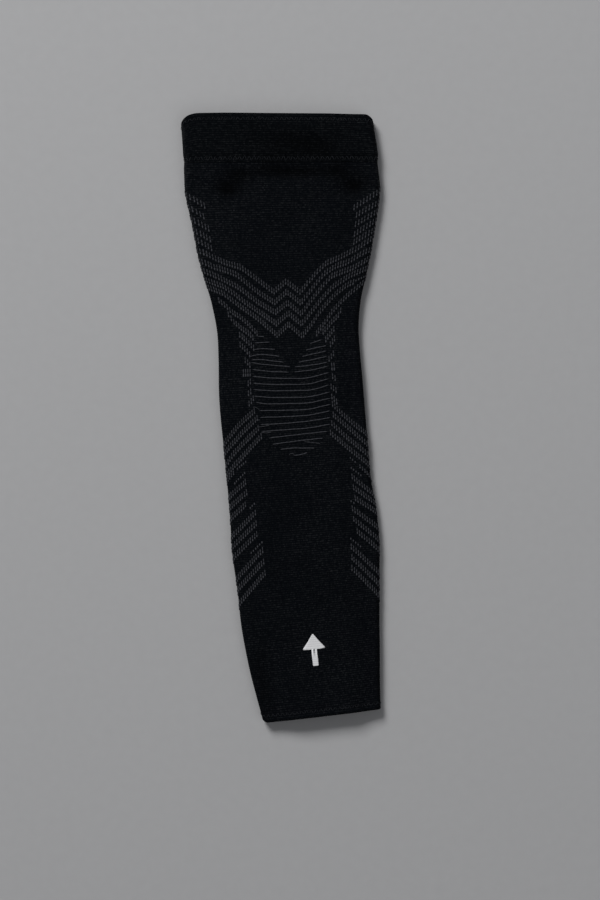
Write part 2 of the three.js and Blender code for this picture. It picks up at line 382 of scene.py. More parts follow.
def course_relief(place):
    """Fine lines of the courses that show, cut in from the outer face. Their crests stay a hair inside
    it, so that the grey yarn stands proud on the underside too."""
    return COURSE_RELIEF * (np.cos(2 * np.pi * place / COURSE) - CREST_INSET)


# Making meshes

OUTLINE_POINTS = 401


def shift_to_frame():
    """Place of the wrist end's middle in the frame, found by laying the outline over the CAD box."""
    place = np.linspace(0, SLEEVE_LENGTH, OUTLINE_POINTS)[:, None]
    share = np.linspace(-1, 1, OUTLINE_POINTS)[None, :]
    out = np.where(place >= CUFF_EDGE, OUTER_LEAF, 0)
    points = tube(place, share * half_girth(place), out).reshape(-1, 3)
    middle = (points.min(axis=0) + points.max(axis=0)) / 2
    cad_middle = (np.array(cad_low) + np.array(cad_high)) / 2 / MM
    return np.array([cad_middle[0] - middle[0], cad_middle[1] - middle[1], 0.0])


ORIGIN = shift_to_frame()


def new_object(name, data):
    """A new object in the scene."""
    made = bpy.data.objects.new(name, data)
    bpy.context.collection.objects.link(made)
    return made


def new_piece(name, points, faces, material, nodes=(), uv=None, hollow=None):
    """A smooth piece from points in millimetres and four-cornered faces, riding on the one body. It
    may have its wales and courses, and the depth of the creases, at the faces' corners."""
    points = (points.reshape(-1, 3) + ORIGIN) * MM
    corners = faces.reshape(-1).astype(np.int32)
    mesh = bpy.data.meshes.new(name)
    mesh.vertices.add(len(points))
    mesh.vertices.foreach_set("co", points.ravel().astype(np.float32))
    mesh.loops.add(len(corners))
    mesh.loops.foreach_set("vertex_index", corners)
    mesh.polygons.add(len(faces))
    mesh.polygons.foreach_set("loop_start", np.arange(0, len(corners), 4, dtype=np.int32))
    mesh.polygons.foreach_set("loop_total", np.full(len(faces), 4, dtype=np.int32))
    mesh.polygons.foreach_set("use_smooth", np.ones(len(faces), dtype=bool))
    for layer_name, values in (("knit", uv), ("hollow", hollow)):
        if values is not None:
            layer = mesh.uv_layers.new(name=layer_name)
            layer.data.foreach_set("uv", values.reshape(-1).astype(np.float32))
    mesh.update(calc_edges=True)
    mesh.materials.append(material)
    piece = new_object(name, mesh)
    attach(piece, "root")
    if nodes:
        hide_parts(*nodes)


def spaced(low, high, step):
    """Even places from low to high, about a step apart."""
    return np.linspace(low, high, max(2, round((high - low) / step) + 1))


def round_steps(top, fold, under):
    """Steps round the tube from the middle of the back over the front, for the steps from the middle
    to a fold, over it and back under. Columns: share of the flat run, angle over the side fold."""
    half = [(step / top, 0.0) for step in range(top)]
    half += [(1.0, math.pi * step / fold) for step in range(fold)]
    half += [(1.0 + step / under, math.pi) for step in range(under + 1)]
    left = [(-flat, -angle) for flat, angle in half[:0:-1]]
    return np.array(left + half[:-1])


def girths(place, steps):
    """Distances round the tube of the steps, one row a place."""
    return steps[:, 0] * flat_run(place)[:, None] + steps[:, 1] * FOLD


def loop_faces(rows, around):
    """Faces between rings that close on themselves both ways."""
    row, step = np.meshgrid(np.arange(rows), np.arange(around), indexing="ij")
    next_row = (row + 1) % rows
    next_step = (step + 1) % around
    corners = [(row, step), (row, next_step), (next_row, next_step), (next_row, step)]
    return np.stack([r * around + s for r, s in corners], axis=-1).reshape(-1, 4)


def at_corners(first, second):
    """Two values of each step of the rings, at the corners of the faces between them."""
    low = np.stack([first, second], axis=-1)
    high = np.roll(low, -1, axis=0)
    corners = [low[:, :-1], low[:, 1:], high[:, 1:], high[:, :-1]]
    return np.stack(corners, axis=2)


def knit_uv(place, girth):
    """Wale and course at the faces' corners. The count is carried on over the seam down the back."""
    wale = wale_of(place[:, None], girth)
    wale = np.concatenate([wale, -wale[:, :1]], axis=1)
    return at_corners(wale, np.broadcast_to(place[:, None] / COURSE, wale.shape))


def hollow_uv(place, girth):
    """Depth of the creases, in millimetres, at the faces' corners, from which the knit's colour takes its
    painted shade.
    """
    depth = crease_depth(place[:, None], girth)
    depth = np.concatenate([depth, depth[:, :1]], axis=1)
    return at_corners(depth, np.zeros_like(depth))


def band_piece(name, layers, steps, relief, material, nodes):
    """A closed band round the tube. Each layer has its places along the sleeve, its distances out
    and whether it is the outer face, and the layers run up the outer face and down the inner one."""
    place = np.concatenate([layer[0] for layer in layers])
    out = np.concatenate([np.broadcast_to(layer[1], layer[0].shape) for layer in layers])
    is_outer = np.concatenate([np.full(layer[0].shape, layer[2]) for layer in layers])
    girth = girths(place, steps)
    rows = place[:, None]
    shape = soft_relief(rows, girth) + np.where(is_outer[:, None], relief(rows, girth), 0)
    points = tube(rows, girth, out[:, None] + shape)
    faces = loop_faces(len(place), len(steps))
    uv = knit_uv(place, girth)
    new_piece(name, points, faces, material, nodes, uv, hollow_uv(place, girth))


# The pattern's chart. Each row is a line through the middles of its dashes, from left to right. It
# holds the distance across and the place along the sleeve of each point in turn. The sleeve lies a
# little turned, so its sides differ.
CROSSING_LINES = [
    (-57.6, 311.0, -52.9, 308.7, -46.9, 305.3, -39.2, 301.9, -29.5, 298.8, -22.3, 293.3,
     -8.1, 282.0, 0.3, 288.7, 9.5, 281.3, 22.0, 295.6, 27.0, 300.2, 36.4, 304.0,
     47.7, 309.7, 55.2, 314.7),
    (-55.9, 304.0, -47.2, 299.5, -39.5, 297.0, -32.3, 294.1, -22.9, 285.9, -19.5, 283.0,
     -7.8, 274.9, 0.5, 281.9, 9.7, 274.0, 26.0, 293.4, 33.7, 298.2, 41.0, 300.4,
     51.9, 306.8, 56.1, 308.6),
    (-54.1, 297.4, -45.5, 293.4, -38.2, 289.5, -31.1, 285.6, -19.1, 275.9, -7.7, 268.4,
     0.9, 274.6, 9.4, 266.9, 30.4, 291.4, 38.2, 294.4, 45.3, 296.9, 54.8, 302.5),
    (-52.7, 291.3, -41.4, 286.7, -34.0, 281.5, -27.3, 275.9, -18.8, 269.7, -7.3, 261.0,
     1.0, 267.7, 9.4, 260.1, 31.2, 284.4, 42.5, 291.4, 53.5, 296.1),
    (-49.6, 285.6, -42.2, 282.5, -31.7, 274.2, -19.7, 265.0, -7.2, 253.4, 0.6, 260.5,
     9.3, 252.1, 16.9, 261.1, 20.8, 266.8, 32.5, 279.3, 39.9, 284.9, 44.9, 287.1),
]
UPPER_SIDE_LINES = [
    (-64.9, 347.8, -51.4, 338.7),
    (-63.6, 340.3, -51.4, 331.0),
    (-61.7, 332.2, -49.7, 324.0),
    (-60.6, 325.0, -48.1, 316.6),
    (-58.6, 318.1, -47.7, 311.0),
    (46.0, 336.9, 62.2, 347.1),
    (46.1, 331.1, 61.7, 339.9),
    (45.6, 325.0, 60.4, 333.8),
    (44.5, 318.1, 59.0, 327.5),
    (44.3, 313.2, 58.9, 322.0),
]
COLUMN_LINES = [
    (-45.3, 278.3, -39.8, 273.8, -36.6, 270.0, -31.2, 266.5, -25.7, 261.3, -20.0, 254.6),
    (-39.2, 269.1, -35.7, 263.7, -30.6, 259.0, -25.1, 254.8, -21.8, 250.6),
    (-33.1, 255.6, -29.3, 252.4, -25.9, 248.8, -22.8, 245.1),
    (-32.5, 248.8, -29.1, 245.4, -25.4, 240.5),
    (-30.5, 239.4, -27.2, 235.7, -25.5, 233.6),
    (-29.2, 221.7, -26.0, 224.1),
    (-29.2, 215.2, -26.1, 217.6),
    (-29.2, 208.1, -26.1, 211.5, -24.5, 213.4),
    (18.4, 252.9, 25.0, 261.2, 29.6, 267.5, 34.2, 272.2, 39.2, 277.1, 48.5, 284.5),
    (22.1, 253.4, 26.5, 257.9, 29.6, 261.4, 33.7, 264.9, 36.7, 270.1),
    (23.9, 248.3, 26.6, 251.7, 31.5, 257.2),
    (26.2, 244.1, 31.1, 250.5),
    (25.7, 235.4, 30.0, 240.9),
    (26.7, 225.6, 29.9, 222.9),
    (26.5, 217.9, 29.7, 215.2),
    (26.5, 211.3, 29.7, 207.5),
]
TALL_LINES = [
    (-30.8, 229.5, -25.7, 229.5),
    (26.5, 231.0, 30.5, 231.0),
]
LOWER_SIDE_LINES = [
    (-45.5, 185.9, -37.6, 194.5, -31.4, 199.6, -24.9, 204.5),
    (-46.0, 179.5, -38.3, 186.8, -32.3, 192.5, -22.8, 200.3),
    (-47.1, 169.4, -41.8, 176.9, -35.6, 182.6, -29.7, 187.6, -23.5, 193.0),
    (-46.4, 164.5, -38.5, 172.3, -32.7, 177.7, -27.0, 183.1, -21.9, 187.8),
    (25.9, 207.1, 32.1, 199.8, 39.4, 192.4, 46.7, 185.6),
    (25.5, 200.2, 34.5, 191.1, 46.6, 178.5),
    (24.2, 194.4, 32.9, 184.7, 47.0, 170.9),
    (22.9, 188.0, 32.8, 177.8, 47.6, 162.9),
    (-48.4, 147.0, -34.7, 158.7),
    (-48.5, 140.3, -34.7, 151.9),
    (-48.9, 132.8, -35.6, 144.8),
    (35.2, 157.1, 47.0, 145.0),
    (34.9, 150.1, 47.1, 139.4),
    (35.3, 142.6, 47.9, 132.4),
    (-48.4, 122.8, -31.3, 137.8),
    (-49.0, 115.3, -31.2, 131.0),
    (-48.6, 108.6, -31.4, 123.9),
    (31.5, 136.9, 48.7, 121.2),
    (32.2, 129.4, 48.2, 113.7),
    (33.2, 121.8, 48.3, 106.1),
    (-47.6, 94.3, -27.9, 113.6),
    (-47.3, 86.8, -27.7, 106.0),
    (-46.6, 78.3, -27.8, 98.4),
    (29.3, 111.2, 47.2, 90.4),
    (28.8, 104.4, 46.7, 82.9),
    (28.3, 97.6, 46.3, 75.4),
]
DOUBLE_LINES = [
    (-48.8, 157.9, -41.3, 165.8),
    (40.4, 164.2, 46.8, 156.8),
]
DOT_LINES = [
    (46.4, 288.0, 52.5, 290.7),
    (-40.5, 166.6, -33.8, 171.4),
    (34.3, 170.5, 39.6, 165.1),
    (-42.9, 157.5, -34.8, 164.5),
    (35.0, 163.0, 41.3, 157.2),
    (-34.8, 140.6, -31.0, 143.7),
    (31.3, 141.8, 34.6, 138.9),
    (-36.6, 111.3, -28.0, 118.6),
    (30.0, 115.8, 36.9, 109.1),
]
CHART = [
    (DASH, CROSSING_LINES + UPPER_SIDE_LINES + COLUMN_LINES + LOWER_SIDE_LINES),
    (TALL_DASH, TALL_LINES),
    (DOUBLE_DOT, DOUBLE_LINES),
    (DOT, DOT_LINES),
]


def line_points(line):
    """Distances across and places along the sleeve of a line's points."""
    return np.array(line).reshape(-1, 2).T


def follow(at, across, along):
    """Places along the sleeve of a line at distances across, carried straight on past its ends."""
    start_slope = (along[1] - along[0]) / (across[1] - across[0])
    end_slope = (along[-1] - along[-2]) / (across[-1] - across[-2])
    before = np.minimum(at - across[0], 0) * start_slope
    after = np.maximum(at - across[-1], 0) * end_slope
    return np.interp(at, across, along) + before + after


def line_dashes(line):
    """Wales and places of a line's dashes. A line that ends near a side fold is carried over it."""
    x, place = line_points(line)
    wale = wale_of(place, girth_of(place, x))
    first = math.ceil(wale[0])
    last = math.floor(wale[-1])
    if first < CARRY_REACH - HALF_WALES:
        first = -HALF_WALES
    if last > HALF_WALES - CARRY_REACH:
        last = HALF_WALES
    wales = np.arange(first, last + 1)
    return wales, follow(wales, wale, place)


def chart_dashes():
    """Every dash of the front: wale, place of its middle and height."""
    dashes = []
    for height, lines in CHART:
        for line in lines:
            wales, places = line_dashes(line)
            dashes.append(np.stack([wales, places, np.full(len(wales), height)], axis=1))
    return np.concatenate(dashes)


def back_dashes(front):
    """The side bands carried on over the folds, as the front mirrored there."""
    count = np.abs(front[:, 0])
    back = front[(count > HALF_WALES - BACK_REACH) & (count < HALF_WALES)]
    back[:, 0] = np.sign(back[:, 0]) * (2 * HALF_WALES - np.abs(back[:, 0]))
    return back


# A dash is two loops of yarn with a pinch between them, at a share of its height from its lower end
PINCH = 0.47

# Columns: share of the dash's height from its lower end, share of its half width, share of how proud
DASH_PROFILE = [
    (0.00, 0.25, 0.10),
    (0.05, 0.78, 0.60),
    (0.16, 1.00, 1.00),
    (0.31, 0.90, 0.90),
    (0.41, 0.52, 0.40),
    (PINCH, 0.36, 0.25),
    (0.53, 0.50, 0.42),
    (0.63, 0.76, 0.82),
    (0.84, 0.78, 0.86),
    (0.95, 0.55, 0.55),
    (1.00, 0.25, 0.10),
]
DOT_PROFILE = [
    (0.00, 0.25, 0.10),
    (0.14, 0.70, 0.60),
    (0.40, 1.00, 1.00),
    (0.70, 0.85, 0.85),
    (0.90, 0.50, 0.50),
    (1.00, 0.25, 0.10),
]
DASH_SIDES = 6

# Share of a dash's height that its material goes through. A dot stays in the lower loop's part of it
DASH_LIT = 1.0
DOT_LIT = 0.3

# How unevenly they are knitted: spread of length, width and rise as shares, and of place round the tube
LENGTH_SPREAD = 0.035
WIDTH_SPREAD = 0.07
RISE_SPREAD = 0.12
DRIFT_SPREAD = 0.06


# Strands: thin closed bodies laid on the knit


def strand_points(place, girth, across, rise, base, sides, is_level=False):
    """Rings of points of many strands. The arrays hold one row a strand and one column a ring. A
    level strand runs round the tube, so its rings spread along the sleeve."""
    turn = 2 * np.pi * (np.arange(sides) + 0.5) / sides
    spread = across[..., None] * np.cos(turn)
    rows = place[..., None] + (spread if is_level else 0)
    around = girth[..., None] + (0 if is_level else spread)
    rows, around = np.broadcast_arrays(rows, around)
    out = soft_relief(rows, around) + base[..., None] + rise[..., None] * np.sin(turn)
    return tube(rows, around, out)


def strand_faces(count, rings, sides):
    """Faces of many strands, with both ends closed."""
    ring, side = np.meshgrid(np.arange(rings - 1), np.arange(sides), indexing="ij")
    after = (side + 1) % sides
    quads = [ring * sides + after, ring * sides + side, (ring + 1) * sides + side, (ring + 1) * sides + after]
    walls = np.stack(quads, axis=-1).reshape(-1, 4)
    last = (rings - 1) * sides
    caps = []
    for low in range(1, sides // 2):
        start_cap = [low - 1, low, sides - 1 - low, sides - low]
        caps.append(start_cap)
        caps.append([last + corner for corner in reversed(start_cap)])
    one = np.concatenate([walls, np.array(caps)])
    starts = np.arange(count)[:, None, None] * rings * sides
    return (one + starts).reshape(-1, 4)


def strand_uv(count, sides, shares):
    """Coordinates at the corners of strand faces: the middle of a wale, and the share of the length."""
    share = np.repeat(shares[:-1], sides)
    after = np.repeat(shares[1:], sides)
    walls = np.stack([share, share, after, after], axis=1)
    ends = np.tile(np.array([[shares[0]] * 4, [shares[-1]] * 4]), (sides // 2 - 1, 1))
    along = np.concatenate([walls, ends])
    one = np.stack([np.full_like(along, 0.5), along], axis=-1)
    return np.broadcast_to(one, (count, *one.shape))


def dash_piece(name, dashes, profile, lit, material, rng):
    """Grey dashes or dots of the front or the back, as one piece."""
    count = len(dashes)
    length = dashes[:, 2] * rng.normal(1.0, LENGTH_SPREAD, count)
    half = DASH_WIDTH / 2 * rng.normal(1.0, WIDTH_SPREAD, count)
    rise = DASH_PROUD * rng.normal(1.0, RISE_SPREAD, count)
    drift = rng.normal(0, DRIFT_SPREAD, count)
    share, wide, proud = np.array(profile).T
    place = dashes[:, 1, None] + (share - 0.5) * length[:, None]
    girth = girth_of_wale(place, dashes[:, 0, None]) + drift[:, None]
    base = np.zeros_like(place)
    points = strand_points(place, girth, half[:, None] * wide, rise[:, None] * proud, base, DASH_SIDES)
    faces = strand_faces(count, len(profile), DASH_SIDES)
    uv = strand_uv(count, DASH_SIDES, share * lit)
    new_piece(name, points, faces, material, uv=uv)


# Each rib's bar of yarn, or the two bars beside the gap in the upper ones, as rows like the chart's
RIB_LINES = [
    (-19.8, 253.0, -16.0, 252.9),
    (-22.2, 248.9, -12.5, 249.0),
    (14.3, 247.1, 21.7, 249.1),
    (-22.8, 244.6, -18.8, 245.2, -9.2, 244.1),
    (11.3, 242.8, 24.7, 245.2),
    (-25.9, 240.1, -23.9, 240.3, -19.8, 241.7, -6.6, 239.4),
    (8.6, 238.7, 24.5, 241.6),
    (-25.2, 237.8, -20.8, 238.2, -4.0, 235.4),
    (6.0, 235.0, 15.3, 236.2, 24.7, 238.0),
    (-25.3, 236.1, -19.3, 234.8, 0.2, 232.2),
    (3.4, 232.0, 15.1, 232.6, 24.9, 234.1),
    (-24.7, 231.6, -14.8, 229.8, -0.7, 228.7),
    (2.9, 228.7, 15.0, 229.3, 25.1, 231.5),
    (-25.0, 227.0, -11.8, 225.2, 10.7, 223.9, 25.7, 227.2),
    (-24.8, 222.5, -12.0, 221.0, 12.1, 220.0, 25.5, 223.2),
    (-25.0, 218.4, -12.2, 216.8, 14.3, 216.0, 25.3, 219.1),
    (-24.8, 214.0, -12.5, 212.4, 11.6, 211.5, 25.8, 214.2),
    (-23.9, 210.0, -17.6, 208.4, 11.2, 207.5, 26.0, 210.2),
    (-22.0, 204.4, -5.2, 203.6, 10.9, 203.3, 25.6, 206.1),
    (-22.0, 199.9, -5.5, 199.4, 10.6, 199.4, 24.8, 201.7),
    (-22.0, 195.1, -5.9, 195.0, 10.2, 195.6, 24.8, 197.2),
    (-21.6, 190.6, -6.3, 190.8, 9.8, 191.0, 24.1, 192.8),
    (-17.2, 186.0, 1.4, 187.1, 21.6, 188.1),
    (-15.1, 181.8, 1.1, 183.0, 18.5, 183.8),
    (-10.2, 178.1, -2.5, 178.6, 12.2, 177.5),
    (-1.8, 173.6, 4.2, 173.7, 7.2, 174.8),
]
# Yarns that stray beside the ribs
STRAY_LINES = [
    (-25.8, 206.8, -24.1, 206.8, -22.5, 205.7, -21.7, 204.7),
    (-25.4, 198.2, -22.0, 198.2),
    (-23.0, 193.7, -19.2, 194.0, -16.1, 194.3),
    (-22.0, 190.0, -18.5, 189.4, -15.4, 189.9),
    (6.0, 182.2, 9.2, 181.7, 12.6, 181.0, 16.4, 180.3),
    (-5.0, 174.2, -4.2, 174.8, -2.3, 174.9, -1.3, 173.8),
]

# Reach over which the lines' corners are rounded, samples for that, rings of a bar and its sides
RIB_SMOOTHING = 4.0
STRAY_SMOOTHING = 0.4
SMOOTHING_SAMPLES = 5
RIB_RINGS = 72
RIB_SIDES = 8

# Beads of a bar: mean, swing and spread of its width, and the width of its ends, all as shares
BEAD_MEAN = 0.84
BEAD_SWING = 0.18
BEAD_SPREAD = 0.06
BEAD_END = 0.25

# Waver of a bar: height, and length for a turn of one radian. How high its middle lies on the knit
WAVER = 0.05
WAVER_LENGTH = 1.7
BAR_LIFT = 0.02


def rib_place(line, x, smoothing=RIB_SMOOTHING):
    """Place along the sleeve of a rib's bar, with its points rounded off."""
    across, along = line_points(line)
    place = 0
    for shift in np.linspace(-smoothing, smoothing, SMOOTHING_SAMPLES):
        place = place + follow(x + shift, across, along) / SMOOTHING_SAMPLES
    return place


def rib_piece(name, lines, smoothing, width, material, rng):
    """Bars of beaded grey yarn across the elbow patch, as one piece."""
    share = np.linspace(0, 1, RIB_RINGS)
    end = np.clip(np.minimum(share, 1 - share) * RIB_RINGS / 2, BEAD_END, 1)
    place, girth, across = [], [], []
    for line in lines:
        points, along = line_points(line)
        x = points[0] + (points[-1] - points[0]) * share
        place.append(rib_place(line, x, smoothing) + WAVER * np.sin(x / WAVER_LENGTH + along[0]))
        girth.append(x)
        bead = BEAD_MEAN + BEAD_SWING * np.cos(2 * np.pi * x / RIB_STITCH)
        bead = bead + rng.normal(0, BEAD_SPREAD, RIB_RINGS)
        across.append(width / 2 * bead * end)
    across = np.array(across)
    rise = across * RIB_PROUD / (RIB_WIDTH / 2)
    base = np.full_like(across, BAR_LIFT)
    points = strand_points(np.array(place), np.array(girth), across, rise, base, RIB_SIDES, True)
    faces = strand_faces(len(lines), RIB_RINGS, RIB_SIDES)
    new_piece(name, points, faces[:, ::-1], material)


# How far out the cuff's lower edge is, and over what length the leaf comes up from it
LEAF_LIP = 0.12
LEAF_TAPER = 8.0

# A stroke of thread: rings, sides, share of the step before it, how deep its ends lie, how high it
# arches, its height as a share of its width, and its width at the ends as a share
STROKE_RINGS = 7
STROKE_SIDES = 6
STROKE_GAP = 0.12
STROKE_SINK = 0.16
STROKE_ARCH = 0.22
STROKE_FLATNESS = 0.8
STROKE_END = 0.55

# How unevenly a row is sewn: mean, spread and range of the thread's thickness as shares, and in a
# loose row the spread of a stroke's height, of its place along the sleeve and of its place round it
THREAD_MEAN = 0.9
THREAD_SPREAD = 0.22
THREAD_RANGE = (0.45, 1.3)
TALL_SPREAD = 0.13
SHAKE_SPREAD = 0.16
SLIP_SPREAD = 0.13


def cuff_out(place):
    """Distance out of the cuff's outer face, which is sewn down flush at its lower edge."""
    return OUTER_LEAF - (OUTER_LEAF - LEAF_LIP) * (1 - ease((place - CUFF_EDGE) / LEAF_TAPER))


def stitch_piece(name, row, base, material, rng):
    """A row of zigzag stitches right round the tube, as one piece of short strokes of thread. The base
    gives the distance out of the face that it is sewn to."""
    at, height, loose, _, _ = row
    around = 2 * float(half_girth(np.array(at)))
    count = 2 * round(around / STROKE_STEP / 2)
    step = around / count
    share = np.linspace(0, 1, STROKE_RINGS)
    start = -around / 2 + step * np.arange(count)
    way = np.where(np.arange(count) % 2, -1.0, 1.0)
    tall = height * rng.normal(1.0, TALL_SPREAD * loose, count)
    shake = rng.normal(0, SHAKE_SPREAD * loose, count)
    slip = rng.normal(0, SLIP_SPREAD * loose, count)
    place = at + shake[:, None] + (way * tall)[:, None] * (share - 0.5)
    girth = start[:, None] + step * (STROKE_GAP + (1 - 2 * STROKE_GAP) * share) + slip[:, None]
    arch = np.sin(np.pi * share)
    thick = rng.normal(THREAD_MEAN, THREAD_SPREAD, count)[:, None].clip(*THREAD_RANGE)
    across = THREAD / 2 * thick * (STROKE_END + (1 - STROKE_END) * arch)
    rise = across * STROKE_FLATNESS
    out = base(place) - STROKE_SINK + STROKE_ARCH * arch
    points = strand_points(place, girth, across, rise, out, STROKE_SIDES)
    flips = strand_faces(count, STROKE_RINGS, STROKE_SIDES).reshape(count, -1, 4)
    flips[way < 0] = flips[way < 0][:, :, ::-1]
    new_piece(name, points, flips.reshape(-1, 4), material)


# The three knitted bands

# Mesh steps round the tube, and along the faces that don't show their courses
KNIT_STEPS = round_steps(top=24, fold=8, under=16)
CUFF_STEPS = round_steps(top=40, fold=8, under=24)
INNER_STEP = 4.0
CUFF_LEAF_STEP = 2.5
HEM_LEAF_STEP = 1.4
CUFF_TURN_RINGS = 11
HEM_TURN_RINGS = 6

# Low swell of the knit under the ribs: height, reach beside a rib and past its ends
RIB_SWELL = 0.2
RIB_REACH = 0.6
RIB_END_REACH = 1.0


def rib_ridges(place, girth):
    """Low swell of the knit under the ribs."""
    ridges = 0
    for line in RIB_LINES:
        off = (place - rib_place(line, girth)) / RIB_REACH
        across, _ = line_points(line)
        from_left = ease((girth - across[0] + RIB_END_REACH) / (2 * RIB_END_REACH))
        from_right = ease((across[-1] + RIB_END_REACH - girth) / (2 * RIB_END_REACH))
        ridges = ridges + RIB_SWELL * from_left * from_right * bell(off * off)
    return ridges


def knit_relief(place, girth):
    """Fine relief of the tube's outer face."""
    return course_relief(place) + rib_ridges(place, girth) + stitch_groove(place, girth, HEM_ROW)


def cuff_relief(place, girth):
    """Fine relief of the cuff's outer face."""
    upper = stitch_groove(place, girth, CUFF_TOP_ROW)
    lower = stitch_groove(place, girth, CUFF_LOW_ROW)
    return course_relief(place) + upper + lower


def no_relief(place, girth):
    """A smooth face."""
    return 0 * place * girth


def knit_tube(material):
    """The knitted tube: its outer face with every course, and a plainer inner face."""
    outer = spaced(BODY_START, BODY_END, COURSE / ROWS_A_COURSE)
    inner = spaced(BODY_START, BODY_END, INNER_STEP)[::-1]
    layers = [(outer, 0.0, True), (inner, -WALL, False)]
    band_piece("sleeve_knit", layers, KNIT_STEPS, knit_relief, material, ["sleeve_body"])


def cuff_band(material):
    """The folded band: outer leaf, round fold over the body's edge, inner leaf."""
    turn = np.linspace(0, np.pi, CUFF_TURN_RINGS)[1:-1]
    round_half = (OUTER_LEAF - INNER_LEAF) / 2
    fold_middle = (OUTER_LEAF + INNER_LEAF) / 2
    top = SLEEVE_LENGTH - round_half
    leaf_places = spaced(CUFF_EDGE, top, CUFF_LEAF_STEP)
    inside = spaced(CUFF_EDGE, SLEEVE_LENGTH - LEAF, CUFF_LEAF_STEP)
    outer = spaced(CUFF_EDGE, top, COURSE / ROWS_A_COURSE)
    tucked = (CLEARANCE + LEAF_LIP) * (1 - ease((inside - CUFF_EDGE) / LEAF_TAPER))
    layers = [
        (outer, cuff_out(outer), True),
        (top + round_half * np.sin(turn), fold_middle + round_half * np.cos(turn), False),
        (leaf_places[::-1], INNER_LEAF, False),
        (inside, -WALL - CLEARANCE, False),
        (inside[::-1], (CLEARANCE - tucked)[::-1], False),
    ]
    band_piece("cuff_knit", layers, CUFF_STEPS, cuff_relief, material, ["upper_cuff"])


def hem_band(material):
    """The turned hem: a round lip that closes the body's wrist edge, and a leaf up its inner face."""
    turn = np.linspace(0, np.pi / 2, HEM_TURN_RINGS)
    middle = INNER_LEAF / 2
    leaf_places = spaced(LEAF, HEM_DEPTH, HEM_LEAF_STEP)
    layers = [
        (LEAF * (1 - np.sin(turn[::-1])), middle * (1 - np.cos(turn[::-1])), True),
        (leaf_places, -WALL - CLEARANCE, False),
        (leaf_places[::-1], INNER_LEAF, False),
        (LEAF * (1 - np.sin(turn[1:-1])), middle * (1 + np.cos(turn[1:-1])), False),
    ]
    band_piece("hem_knit", layers, CUFF_STEPS, no_relief, material, ["wrist_hem"])


# The plain arrow printed near the wrist, which says which end goes up the arm. Columns: distance
# along from its middle, and half its width
ARROW = [
    (-10.6, 1.5),
    (-10.3, 1.9),
    (-5.0, 1.9),
    (0.5, 1.9),
    (0.5, 6.8),
    (0.8, 7.3),
    (1.5, 7.1),
    (5.8, 3.6),
    (10.1, 0.6),
    (10.5, 0.25),
]
ARROW_X = 0.6
ARROW_PLACE = 44.5

# The film: thickness, share of it at the rim, how far it reaches into the knit, and steps across
FILM = 0.12
FILM_RIM = 0.55
FILM_SINK = 0.1
FILM_STEPS = 9


def arrow_mark(material):
    """A thin printed film that follows the knit."""
    across = np.linspace(-1, 1, FILM_STEPS)
    offset, half = np.array(ARROW).T
    top = half[:, None] * across
    x = ARROW_X + np.concatenate([top, top[:, ::-1]], axis=1)
    place = np.broadcast_to(ARROW_PLACE + offset[:, None], x.shape)
    rim = np.where(np.abs(across) == 1, FILM_RIM, 1.0)
    out = np.concatenate([FILM * rim, np.full(FILM_STEPS, -FILM_SINK)])[None, :]
    points = tube(place, x, soft_relief(place, x) + out)
    sides = 2 * FILM_STEPS
    faces = strand_faces(1, len(ARROW), sides)
    new_piece("direction_arrow", points, faces[:, ::-1], material)


# Materials

# Two colours of each yarn, of the film and of the floor: the darkest and the lightest
KNIT_TONES = ((0.0018, 0.0026, 0.0040, 1), (0.031, 0.033, 0.036, 1))
BAND_TONES = ((0.0015, 0.0022, 0.0032, 1), (0.028, 0.030, 0.032, 1))
DASH_TONES = ((0.012, 0.013, 0.016, 1), (0.064, 0.066, 0.075, 1))
RIB_TONES = ((0.030, 0.031, 0.036, 1), (0.095, 0.098, 0.11, 1))
THREAD_TONES = ((0.008, 0.009, 0.012, 1), (0.046, 0.049, 0.055, 1))
FILM_TONES = ((0.78, 0.78, 0.79, 1), (0.96, 0.96, 0.97, 1))
FLOOR_TONES = ((0.50, 0.50, 0.505, 1), (0.53, 0.53, 0.535, 1))
# Colour of the painted shade in the knit's creases
PAINTED_SHADE_BLACK = (0, 0, 0, 1)

# Scales of noise, in turns a metre: shading of the cloth, flecks, fuzz of the knit, tone and fibres
# of a yarn, grain of the film and of the floor
CLOTH_SCALE = 22.0
FLECK_SCALE = 1100.0
FUZZ_SCALE = 1900.0
TONE_SCALE = 420.0
FIBRE_SCALE = 2600.0
FILM_SCALE = 1500.0
FLOOR_SCALE = 160.0

# Stretches of noise that are spread over 0 to 1: streaks along the courses, shading, flecks
STREAK_RANGE = (0.32, 0.70)
CLOTH_RANGE = (-0.10, 0.90)
FLECK_RANGE = (0.68, 0.80)

# Turns of noise for a wale, or for a wale and a course: waver of the courses, streaks along them
WAVER_TURNS = 0.22
STREAK_TURNS = (0.8, 1.3)

# The knit's tone: how far a course wavers, its base and share, contrast, share and base of the single
# stitches, share of the flecks, painted highlight along the folds, its base, and where it starts and is full
COURSE_WAVER = 0.5
COURSE_BASE = 0.8
COURSE_SHARE = 0.6
STITCH_CONTRAST = 1.6
STITCH_SHARE = 1.15
STITCH_BASE = 0.27
FLECK_SHARE = 0.35
FOLD_PAINTED_HIGHLIGHT = 0.24
FOLD_BASE = 0.3
FOLD_RANGE = (HALF_WALES - 1.9, HALF_WALES - 0.9)

# Stitches in a wale of the pattern and in a course that shows, and bump of stitches, columns and fuzz
STITCHES = 2.0
STITCH_BUMP = 0.22
COLUMN_BUMP = 0.14
FUZZ_BUMP = 0.5

# Painted shade in the creases: depth in millimetres at which they are darkest, and the share of the colour
# that is left there
DARKEST_DEPTH = 2.4
PAINTED_CREASE_LIGHT = 0.12

# A yarn's tone: shares of its uneven colour and of its fibres, and of both in a dash
TONE_SHARE = 0.60
FIBRE_SHARE = 0.35
PLAIN_SHARE = 0.8

# Share of the knit's courses in the film's tone and in its bump
FILM_LINES = 0.12
FILM_BUMP = 0.5

